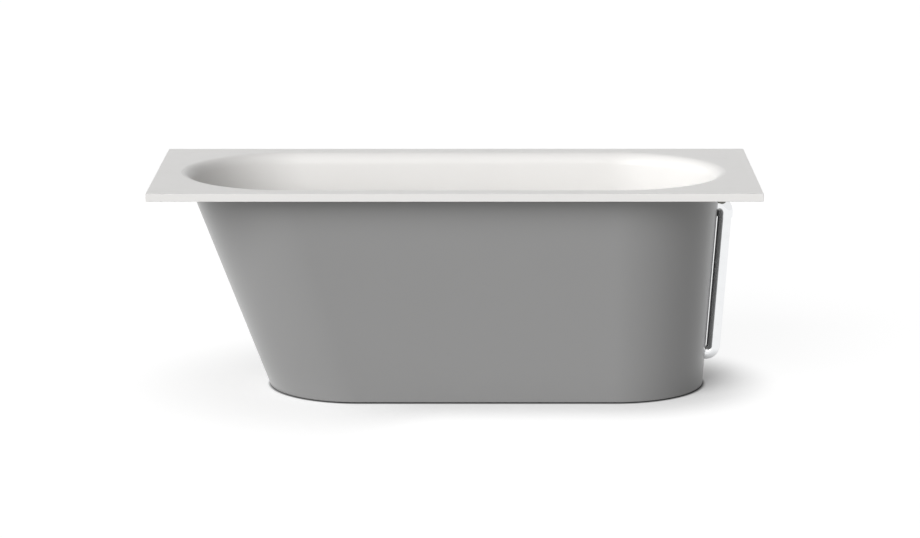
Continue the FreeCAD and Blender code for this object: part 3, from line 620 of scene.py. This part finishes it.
def thread_surface(shaper):
    """Closed rod along Z whose radius follows a screw thread."""
    radius = shaper.input("Radius")
    depth = shaper.input("Thread depth")
    length = shaper.input("Length")
    around = shaper.input("Steps around")
    rows = shaper.input("Rows")
    grid = shaper.node("GeometryNodeMeshGrid", {},
                       {"Size X": 1.0, "Size Y": 1.0, "Vertices X": around + 1,
                        "Vertices Y": rows})
    turn, row_share = shaper.components(grid.part("UV Map"))[:2]
    row = row_share * (rows - 1)
    height = ((row - 1) / (rows - 3)).clamped() * length
    phase = (height / shaper.input("Pitch") - turn).fraction()
    crest = ((abs(phase * 2 - 1) - 0.125) / 0.75).clamped()
    to_end = height.at_most(length - height)
    threaded = radius - depth * (1 - crest)
    eased = threaded.at_most(radius - depth * 1.2 + to_end)
    not_pole = (row > 0.5) * (row < rows - 1.5)
    reach = eased * not_pole
    angle = turn * (2 * math.pi)
    spot = shaper.vector(reach * angle.cosine(), reach * angle.sine(),
                         height + shaper.input("Low end"))
    shaped = shaper.node("GeometryNodeSetPosition", {}, {"Geometry": grid, "Position": spot})
    return shaper.merged(shaped)


def threaded_piece(name, places, head_mesh, material, rod):
    """Threaded rods with a hexagon, one at each place, as one mesh."""
    head = linked_piece(name + "_head", head_mesh)
    turns = rod["length"] / rod["pitch"]
    shaper = Shaper(name, {
        "Radius": rod["radius"], "Thread depth": rod["pitch"] * THREAD_DEPTH,
        "Pitch": rod["pitch"],
        "Length": rod["length"], "Low end": rod["low"], "Steps around": rod["around"],
        "Rows": int(turns * THREAD_ROWS) + 3, "Head": head, "Material": material})
    hexagon = shaper.node("GeometryNodeObjectInfo", {"transform_space": "ORIGINAL"},
                          {"Object": shaper.input("Head")}, "Geometry")
    smooth = shaper.node("GeometryNodeSetShadeSmooth", {"domain": "FACE"},
                         {"Geometry": thread_surface(shaper), "Shade Smooth": True})
    whole = shaper.node("GeometryNodeJoinGeometry", {}, {"Geometry": [smooth, hexagon]})
    copies = shaper.node("GeometryNodeInstanceOnPoints", {},
                         {"Points": shaper.input("Geometry"), "Instance": whole})
    shaper.finish(copies)
    piece = shaper.mesh_on(name, points_mesh(name, places))
    bpy.data.objects.remove(head)
    return piece


def coil_piece(name, material, coil):
    """Compression spring with closed end turns, standing along Z."""
    shaper = Shaper(name, {
        "Coil radius": coil["radius"], "Wire radius": coil["wire"], "Height": coil["height"],
        "Turns": float(SPRING_TURNS), "Steps": SPRING_TURNS * SPRING_STEPS, "Across": coil["x"],
        "Low end": coil["low"], "Material": material})
    line = shaper.node("GeometryNodeCurvePrimitiveLine", {},
                       {"Start": (0.0, 0.0, 0.0), "End": (0.0, 0.0, 1.0)})
    path = shaper.node("GeometryNodeResampleCurve", {}, {"Curve": line,
                                                         "Count": shaper.input("Steps")})
    share = shaper.node("GeometryNodeSplineParameter", output="Factor")
    turns = shaper.input("Turns")
    closed = turns * shaper.input("Wire radius") * 2
    opened = ((share * turns - 1) / (turns - 2)).clamped()
    height = shaper.input("Low end") + share * closed + (shaper.input("Height") - closed) * opened
    angle = share * turns * (2 * math.pi)
    spot = shaper.vector(shaper.input("Across") + shaper.input("Coil radius") * angle.cosine(),
                         shaper.input("Coil radius") * angle.sine(), height)
    helix = shaper.node("GeometryNodeSetPosition", {}, {"Geometry": path, "Position": spot})
    wire = shaper.node("GeometryNodeCurvePrimitiveCircle", {"mode": "RADIUS"},
                       {"Resolution": 12, "Radius": shaper.input("Wire radius")})
    tube = shaper.node("GeometryNodeCurveToMesh", {},
                       {"Curve": helix, "Profile Curve": wire, "Fill Caps": True})
    shaper.finish(tube)
    piece = shaper.mesh_on(name, points_mesh(name, []))
    sharpened(piece.data, 60)
    return piece


def wall_section(thickness, low, high, edge):
    """Closed outline of the shell's wall: points of depth and height, with rounded edges."""
    corners = [(edge, low + edge, 270), (edge, high - edge, 180),
               (thickness - edge, high - edge, 90), (thickness - edge, low + edge, 0)]
    rows = 24
    near, far = low + 3 * edge, high - 3 * edge
    upwards = [near + (far - near) * row / rows for row in range(rows + 1)]
    faces = {0: [(0.0, height) for height in upwards],
             2: [(thickness, height) for height in reversed(upwards)]}
    points = []
    for number, (depth, height, start) in enumerate(corners):
        for step in range(4):
            angle = math.radians(start - 30 * step)
            points.append((depth + edge * math.cos(angle), height + edge * math.sin(angle)))
        points += faces.get(number, [])
    return points


def shell_piece(material, thickness, low_gap):
    """The painted shell: a wall section carried round a leaning, round-ended outline."""
    section = wall_section(thickness, low_gap, RIM_UNDERSIDE, SHELL_EDGE)
    count = len(section)
    start = points_mesh("wall_section", [(depth, height, 0) for depth, height in section],
                        [(i, (i + 1) % count) for i in range(count)])
    (floor_radius, rim_radius), (floor_left, rim_left), (right_centre, _) = SHELL_OUTLINE
    lean = math.atan((rim_radius - floor_radius) / (SHELL_HEIGHTS[1] - SHELL_HEIGHTS[0]))
    elbow_z = ELBOW_CORNER_HEIGHT + PIPE_OFFSET * math.sin(lean)
    elbow_radius = floor_radius + elbow_z * math.tan(lean)
    shaper = Shaper("shell_wall", {
        "Radius at floor": floor_radius, "Radius at rim": rim_radius,
        "Left centre at floor": floor_left, "Left centre at rim": rim_left,
        "Right centre": right_centre, "Height": SHELL_HEIGHTS[1], "Steps around": 480,
        "Pipe hole radius": PIPE_HOLE_RADIUS, "Pipe height": PIPE_HOLE_HEIGHT,
        "Elbow slot radius": ELBOW_SLOT_RADIUS, "Elbow reach": right_centre + elbow_radius,
        "Elbow height": elbow_z, "Lean": math.pi / 2 + lean, "Material": material})
    profile = shaper.node("GeometryNodeMeshToCurve", {}, {"Mesh": shaper.input("Geometry")})
    place = shaper.node("GeometryNodeInputPosition")
    kept_section, section_place = captured(shaper, profile, "VECTOR", place)
    circle = shaper.node("GeometryNodeCurvePrimitiveCircle", {"mode": "RADIUS"},
                         {"Resolution": shaper.input("Steps around"), "Radius": 1.0})
    factor = shaper.node("GeometryNodeSplineParameter", output="Factor")
    kept_circle, turn = captured(shaper, circle, "FLOAT", factor)
    swept = shaper.node("GeometryNodeCurveToMesh", {},
                        {"Curve": kept_circle, "Profile Curve": kept_section})
    depth, height = shaper.components(section_place)[:2]
    share = height / shaper.input("Height")
    low_radius = shaper.input("Radius at floor")
    low_left = shaper.input("Left centre at floor")
    radius = low_radius + (shaper.input("Radius at rim") - low_radius) * share - depth
    left = low_left + (shaper.input("Left centre at rim") - low_left) * share
    right = shaper.input("Right centre")
    quarter = turn * 4
    angle = (quarter.clamped() + (quarter - 2).clamped()) * math.pi - math.pi / 2
    along = (quarter - 1).clamped() - (quarter - 3).clamped()
    spot = shaper.vector(right + (left - right) * along + radius * angle.cosine(),
                         radius * angle.sine(), height)
    wall = shaper.node("GeometryNodeSetPosition", {}, {"Geometry": swept, "Position": spot})
    cut = shaper.node("GeometryNodeMeshBoolean", {"operation": "DIFFERENCE", "solver": "EXACT"},
                      {"Mesh 1": wall, "Mesh 2": shell_cutters(shaper)})
    shaper.finish(cut)
    piece = shaper.mesh_on("painted_shell", start)
    sharpened(piece.data, 32)
    return piece


def captured(shaper, geometry, data_type, value):
    """Stores a field on a geometry and returns the geometry and the stored value."""
    made = shaper.tree.nodes.new("GeometryNodeCaptureAttribute")
    made.capture_items.new(data_type, "kept")
    shaper.feed(made.inputs[0], geometry)
    shaper.feed(made.inputs[1], value)
    return Signal(shaper, made.outputs[0]), Signal(shaper, made.outputs[1])


def shell_cutters(shaper):
    """Hole for the overflow pipe, and the slot, open at the top, round its elbow."""
    end_wall = 710 * MM
    hole_length, slot_length, slot_run = 120 * MM, 60 * MM, 100 * MM

    def rod_shape(radius, length):
        return shaper.node("GeometryNodeMeshCylinder", {"fill_type": "NGON"},
                           {"Vertices": 96, "Radius": radius, "Depth": length}, "Mesh")

    def moved(mesh, place, turn):
        return shaper.node("GeometryNodeTransform", {},
                           {"Geometry": mesh, "Translation": place, "Rotation": turn})

    pipe_hole = moved(rod_shape(shaper.input("Pipe hole radius"), hole_length),
                      shaper.vector(end_wall, 0.0, shaper.input("Pipe height")),
                      (0.0, math.pi / 2, 0.0))
    slot_radius = shaper.input("Elbow slot radius")
    round_end = rod_shape(slot_radius, slot_length)
    bar = shaper.node("GeometryNodeMeshCube", {},
                      {"Size": shaper.vector(slot_run, slot_radius * 2, slot_length)}, "Mesh")
    way_up = moved(bar, (-slot_run / 2, 0.0, 0.0), (0.0, 0.0, 0.0))
    spot = shaper.vector(shaper.input("Elbow reach"), 0.0, shaper.input("Elbow height"))
    turn = shaper.vector(0.0, shaper.input("Lean"), 0.0)
    return [pipe_hole, moved(round_end, spot, turn), moved(way_up, spot, turn)]


# ---- settings -------------------------------------------------------------------------------

def colour_property(name, description, default):
    return FloatVectorProperty(name=name, description=description, default=default,
                               subtype="COLOR", min=0.0, max=1.0)


class BathFinishes(bpy.types.PropertyGroup):
    """Colours of the bath's finishes."""

    acrylic: colour_property("Acrylic", "Colour of the bowl and the rim", (0.866, 0.855, 0.838))
    backing: colour_property("Backing", "Glass-fibre backing of the bowl", (0.52, 0.51, 0.44))
    shell: colour_property("Shell", "Paint of the outer shell", (0.272, 0.271, 0.27))
    chrome: colour_property("Chrome", "Overflow and waste", (0.86, 0.87, 0.88))
    zinc: colour_property("Zinc", "Rails and fasteners", (0.62, 0.63, 0.64))
    spring: colour_property("Spring", "Wire of the plug's spring", (0.55, 0.56, 0.57))
    rubber: colour_property("Rubber", "Washers and seals", (0.03, 0.03, 0.03))
    trap: colour_property("Trap", "White moulded plastic", (0.84, 0.84, 0.83))
    pads: colour_property("Pads", "Black moulded plastic", (0.05, 0.05, 0.055))
    board: colour_property("Board", "Plywood under the bowl", (0.62, 0.47, 0.3))


class BathSizes(bpy.types.PropertyGroup):
    """Sizes of the pieces that are shaped here."""

    shell_thickness: FloatProperty(
        name="Shell wall", description="Thickness of the shell's wall, measured level",
        default=5 * MM, unit="LENGTH")
    shell_gap: FloatProperty(
        name="Floor gap", description="Gap between the shell and the floor",
        default=3 * MM, unit="LENGTH")
    stud_radius: FloatProperty(
        name="Stud radius", description="Outer radius of a foot's threaded stud",
        default=6 * MM, unit="LENGTH")
    stud_pitch: FloatProperty(
        name="Stud pitch", description="Pitch of the foot's thread",
        default=1.75 * MM, unit="LENGTH")
    foot_nut_flats: FloatProperty(
        name="Foot nut", description="Foot nut across its flats",
        default=18 * MM, unit="LENGTH")
    spring_wire: FloatProperty(
        name="Spring wire", description="Diameter of the plug spring's wire",
        default=0.9 * MM, unit="LENGTH")
    bolt_radius: FloatProperty(
        name="Bolt radius", description="Outer radius of a bracket bolt's thread",
        default=3 * MM, unit="LENGTH")
    bolt_pitch: FloatProperty(
        name="Bolt pitch", description="Pitch of the bracket bolt's thread",
        default=1 * MM, unit="LENGTH")
    thread_steps: IntProperty(
        name="Thread steps", description="Steps round a thread", default=24, min=12, max=48)


class BathStudio(bpy.types.PropertyGroup):
    """Light and camera."""

    world_light: FloatProperty(
        name="Room light", description="Even light from all round", default=0.18, min=0.0)
    key_strength: FloatProperty(
        name="Key", description="Soft lamp from the left and the front", default=2.75, min=0.0)
    side_strength: FloatProperty(
        name="Side", description="Weak soft lamp from the left end", default=0.9, min=0.0)
    camera_yaw: FloatProperty(
        name="Yaw", description="Camera's turn to the right",
        default=math.radians(-0.282), subtype="ANGLE")
    camera_pitch: FloatProperty(
        name="Pitch", description="Camera's tilt downwards",
        default=math.radians(11.533), subtype="ANGLE")
    camera_roll: FloatProperty(
        name="Roll", description="Turn of the picture",
        default=math.radians(-0.063), subtype="ANGLE")
    camera_place: FloatVectorProperty(
        name="Place", description="Where the camera stands",
        default=(0.061, -9.693, 2.311), subtype="TRANSLATION")
    camera_lens: FloatProperty(
        name="Lens", description="Focal length on a 36 mm wide film, in millimetres",
        default=134.86, min=1.0)


# ---- operators ------------------------------------------------------------------------------

class BATH_OT_basin(bpy.types.Operator):
    """Gives the basin its white acrylic and the backing on its outside"""

    bl_idname = "bath.basin"
    bl_label = "Basin"

    def execute(self, context):
        colours = context.scene.bath_finishes
        give(acrylic_finish(colours.acrylic, colours.backing), "basin")
        return {"FINISHED"}


class BATH_OT_shell(bpy.types.Operator):
    """Shapes the painted outer shell"""

    bl_idname = "bath.shell"
    bl_label = "Outer shell"

    def execute(self, context):
        sizes = context.scene.bath_sizes
        paint = shell_paint_finish(context.scene.bath_finishes.shell)
        shell = shell_piece(paint, sizes.shell_thickness, sizes.shell_gap)
        stands_for(shell, "outer_shell")
        return {"FINISHED"}


class BATH_OT_chrome(bpy.types.Operator):
    """Gives the overflow and the visible waste parts their chrome"""

    bl_idname = "bath.chrome"
    bl_label = "Overflow and waste"

    def execute(self, context):
        chrome = chrome_finish(context.scene.bath_finishes.chrome)
        slot_nodes(chrome, "chrome")
        return {"FINISHED"}


class BATH_OT_trap(bpy.types.Operator):
    """Gives the trap, its washers and the seals their finishes"""

    bl_idname = "bath.trap"
    bl_label = "Trap and seals"

    def execute(self, context):
        colours = context.scene.bath_finishes
        slot_nodes(white_plastic_finish(colours.trap), "trap_white")
        slot_nodes(rubber_finish(colours.rubber), "black_rubber")
        return {"FINISHED"}


class BATH_OT_spring(bpy.types.Operator):
    """Coils the plug's spring at one fixed length; the real spring shortens as the plug is pressed
    """

    bl_idname = "bath.spring"
    bl_label = "Plug spring"

    def execute(self, context):
        low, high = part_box("plug_spring")
        wire = context.scene.bath_sizes.spring_wire / 2
        height = high.z - low.z
        coil = {"radius": (high.x - low.x) / 2 - wire, "wire": wire, "x": (low.x + high.x) / 2,
                "low": low.z + wire, "height": height - 2 * wire}
        material = spring_wire_finish(context.scene.bath_finishes.spring)
        spring = stands_for(coil_piece("coiled_spring", material, coil), "plug_spring")
        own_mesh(spring)
        return {"FINISHED"}


class BATH_OT_base(bpy.types.Operator):
    """Finishes the board, the rails and the brackets, and makes their bolts and nuts"""

    bl_idname = "bath.base"
    bl_label = "Board, rails and fasteners"

    def execute(self, context):
        colours = context.scene.bath_finishes
        sizes = context.scene.bath_sizes
        zinc = zinc_finish(colours.zinc)
        slot_nodes(plywood_finish(colours.board), "board_wood")
        slot_nodes(grained_plastic_finish(colours.pads), "pad_black")
        slot_nodes(zinc, "zinc_steel")
        head = hexagon_mesh("bolt_head", BOLT_FLATS, *BOLT_HEAD)
        rod = {"radius": sizes.bolt_radius, "pitch": sizes.bolt_pitch, "low": BOLT_ROD[0],
               "length": BOLT_ROD[1], "around": sizes.thread_steps}
        bolts = threaded_piece("bracket_bolt_threads", BOLT_PLACES, head, zinc, rod)
        stands_for(bolts, "bracket_bolts")
        nut = hexagon_mesh("bracket_nut", BOLT_FLATS, *BOLT_NUT, sizes.bolt_radius)
        nuts = repeated_piece("chamfered_bracket_nuts", BOLT_PLACES, nut, zinc)
        stands_for(nuts, "bracket_nuts")
        return {"FINISHED"}


class BATH_OT_feet(bpy.types.Operator):
    """Makes the threaded studs of the feet and their lock nuts"""

    bl_idname = "bath.feet"
    bl_label = "Feet"

    def execute(self, context):
        sizes = context.scene.bath_sizes
        zinc = NODES["cross_rail_left"].material_slots[0].material
        rod = {"radius": sizes.stud_radius, "pitch": sizes.stud_pitch, "low": STUD_ROD[0],
               "length": STUD_ROD[1], "around": sizes.thread_steps}
        for end, side, x, y in FEET:
            head = hexagon_mesh("stud_hexagon", STUD_FLATS, *STUD_HEXAGON)
            stud = threaded_piece(f"threaded_stud_{side}_{end}", [(x, y, 0)], head, zinc, rod)
            stands_for(stud, f"foot_stud_{side}_{end}")
        places = [(x, y, 0) for end, side, x, y in FEET]
        for level in ("upper", "lower"):
            node = f"foot_nuts_{level}"
            low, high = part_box(node)
            nut = hexagon_mesh(node, sizes.foot_nut_flats, low.z, high.z, sizes.stud_radius)
            nuts = repeated_piece(f"chamfered_foot_nuts_{level}", places, nut, zinc)
            stands_for(nuts, node)
        return {"FINISHED"}


def camera_rays(tree):
    """1 for what the camera, metal and glass see, and 0 for light on the object."""
    path = tree.node("ShaderNodeLightPath")
    seen = path.part("Is Camera Ray").at_least(path.part("Is Glossy Ray"))
    return seen.at_least(path.part("Is Transmission Ray"))


def make_floor():
    """Floor that the camera and reflections see as white, and whose light on the bath is grey.
    Near the bath its white glow is dimmed as painted shade, raised on the left as a painted
    lighter patch, and a thin painted contact shade runs along the shell's foot.
    """
    floor = bpy.data.objects.new("floor", bpy.data.meshes.new("floor"))
    reach = 60.0
    floor.data.from_pydata([(-reach, -reach, 0), (reach, -reach, 0), (reach, reach, 0),
                            (-reach, reach, 0)], [], [(0, 1, 2, 3)])
    bpy.context.scene.collection.objects.link(floor)
    tree = Finish("studio_floor")
    from_bath = distance_from_axis(tree, SHELL_HEIGHTS, SHELL_OUTLINE) - SHELL_OUTLINE[0][0]
    # Near the bath the floor's own glow is dimmed, a painted shade; on the left it is raised and
    # widened, a painted lighter patch.
    left = tree.ramp(0.0 - tree.x, 0.0, 0.4)
    away = tree.ramp(from_bath / (1 + left * 1.2), 0.0, FLOOR_FADE)
    painted_shade_near_glow = PAINTED_SHADE_GLOW_NEAR + left * 0.14
    # Thin painted contact shade along the shell's foot: no glow under the shell and just outside
    # its outline.
    painted_contact_factor = tree.ramp(from_bath, *PAINTED_CONTACT_SHADE)
    glow = (painted_shade_near_glow + away * (FLOOR_GLOW - painted_shade_near_glow)) * painted_contact_factor
    # The floor's colour is also darkened under the shell as painted contact shade; near the bath
    # it is paler so that real shadows show there.
    paper = (0.8 - away * 0.6) * (0.3 + painted_contact_factor * 0.7)
    seen = tree.node("ShaderNodeBsdfPrincipled", {}, {
        "Base Color": tree.vector(paper, paper, paper), "Roughness": 1.0,
        "Specular IOR Level": 0.0, "Emission Color": tree.vector(glow, glow, glow),
        "Emission Strength": 1.0})
    lit = tree.node("ShaderNodeBsdfPrincipled", {}, {
        "Base Color": (0.5, 0.5, 0.5, 1.0), "Roughness": 1.0, "Specular IOR Level": 0.0})
    shown = tree.node("ShaderNodeMixShader", {}, {0: camera_rays(tree), 1: lit, 2: seen})
    tree.node("ShaderNodeOutputMaterial", {}, {"Surface": shown})
    floor.data.materials.append(tree.material)


def make_world(strength):
    """Room with weak, even light on the bath, and white for the camera and reflections."""
    world = bpy.data.worlds.new("studio_room")
    world.use_nodes = True
    tree = Tree(world.node_tree)
    lit = tree.node("ShaderNodeBackground", {}, {"Color": (1, 1, 1, 1), "Strength": strength})
    seen = tree.node("ShaderNodeBackground", {},
                     {"Color": (1, 1, 1, 1), "Strength": BACKGROUND_WHITE})
    shown = tree.node("ShaderNodeMixShader", {}, {0: camera_rays(tree), 1: lit, 2: seen})
    tree.node("ShaderNodeOutputWorld", {}, {"Surface": shown})
    bpy.context.scene.world = world


def make_lamp(name, origin, strength, width):
    """A soft, even lamp far away; origin is the direction from the bath to it."""
    lamp = bpy.data.lights.new(name, "SUN")
    lamp.energy = strength
    lamp.angle = math.radians(width)
    holder = bpy.data.objects.new(name, lamp)
    holder.rotation_euler = Vector(origin).to_track_quat("Z", "Y").to_euler()
    bpy.context.scene.collection.objects.link(holder)


def make_camera(studio):
    """Long-lens camera, turned by the studio's yaw, pitch and roll."""
    lens = bpy.data.cameras.new("camera")
    lens.sensor_fit = "HORIZONTAL"
    lens.sensor_width = 36.0
    lens.lens = studio.camera_lens
    lens.clip_end = 300.0
    yaw, pitch, roll = studio.camera_yaw, studio.camera_pitch, studio.camera_roll
    right = Vector((math.cos(yaw), -math.sin(yaw), 0))
    ahead = Vector((math.sin(yaw) * math.cos(pitch), math.cos(yaw) * math.cos(pitch),
                    -math.sin(pitch)))
    down = ahead.cross(right)
    side = right * math.cos(roll) - down * math.sin(roll)
    below = right * math.sin(roll) + down * math.cos(roll)
    camera = bpy.data.objects.new("camera", lens)
    turn = Matrix((side, -below, -ahead)).transposed().to_4x4()
    camera.matrix_world = Matrix.Translation(Vector(studio.camera_place)) @ turn
    bpy.context.scene.collection.objects.link(camera)
    bpy.context.scene.camera = camera


class BATH_OT_stage(bpy.types.Operator):
    """Sets the pale floor, the soft studio light and the camera"""

    bl_idname = "bath.stage"
    bl_label = "Studio"

    def execute(self, context):
        studio = context.scene.bath_studio
        context.scene.view_settings.view_transform = "Standard"
        make_floor()
        make_world(studio.world_light)
        make_lamp("key_lamp", KEY_FROM, studio.key_strength, KEY_WIDTH)
        make_lamp("side_lamp", SIDE_FROM, studio.side_strength, SIDE_WIDTH)
        make_camera(studio)
        return {"FINISHED"}


class BATH_PT_pieces(bpy.types.Panel):
    """Lists the steps that finish the bath"""

    bl_label = "Built-in bath"
    bl_idname = "BATH_PT_pieces"
    bl_space_type = "VIEW_3D"
    bl_region_type = "UI"
    bl_category = "Bath"

    def draw(self, context):
        for step in STEPS:
            self.layout.operator(step.bl_idname)
        for group in (context.scene.bath_finishes, context.scene.bath_sizes,
                      context.scene.bath_studio):
            box = self.layout.box()
            for name in group.__annotations__:
                box.prop(group, name)


STEPS = (BATH_OT_basin, BATH_OT_shell, BATH_OT_chrome, BATH_OT_trap, BATH_OT_spring,
         BATH_OT_base, BATH_OT_feet, BATH_OT_stage)
CLASSES = (BathFinishes, BathSizes, BathStudio, *STEPS, BATH_PT_pieces)


def register():
    for item in CLASSES:
        bpy.utils.register_class(item)
    bpy.types.Scene.bath_finishes = PointerProperty(type=BathFinishes)
    bpy.types.Scene.bath_sizes = PointerProperty(type=BathSizes)
    bpy.types.Scene.bath_studio = PointerProperty(type=BathStudio)


def unregister():
    del bpy.types.Scene.bath_studio
    del bpy.types.Scene.bath_sizes
    del bpy.types.Scene.bath_finishes
    for item in reversed(CLASSES):
        bpy.utils.unregister_class(item)


def main():
    register()
    for step in STEPS:
        family, action = step.bl_idname.split(".")
        getattr(getattr(bpy.ops, family), action)()


if __name__ == "__main__":
    main()
